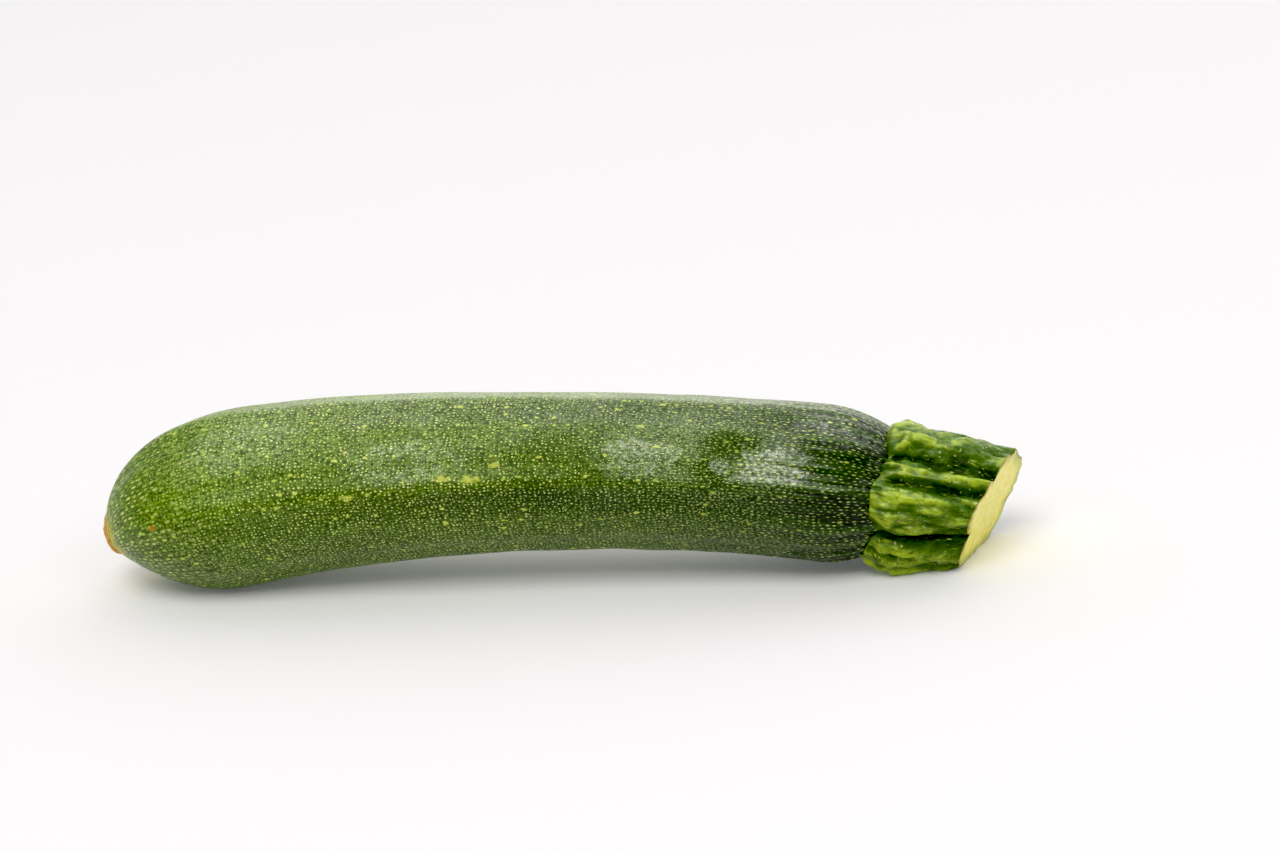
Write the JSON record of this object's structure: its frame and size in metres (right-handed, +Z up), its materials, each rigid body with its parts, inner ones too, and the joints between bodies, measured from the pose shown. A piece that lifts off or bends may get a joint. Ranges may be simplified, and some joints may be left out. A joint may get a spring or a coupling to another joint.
{
  "type": "courgette",
  "caption": "Whole dark green courgette with pale speckled skin and a ribbed, obliquely cut stalk, lying on its side.",
  "frame": {"origin": "middle of the bounding box's footprint, on the surface that the courgette lies on", "axes": "+X from the blossom end to the cut stalk, +Z up"},
  "size_m": [0.2104, 0.0392, 0.0418],
  "materials": {
    "skin": "waxy satin, deep green with pale yellow-green specks",
    "stalk": "satin, yellow-green, with pale flesh on the cut"
  },
  "bodies": {
    "root": {"fruit": "skin", "stem": "stalk"}
  },
  "joints": []
}
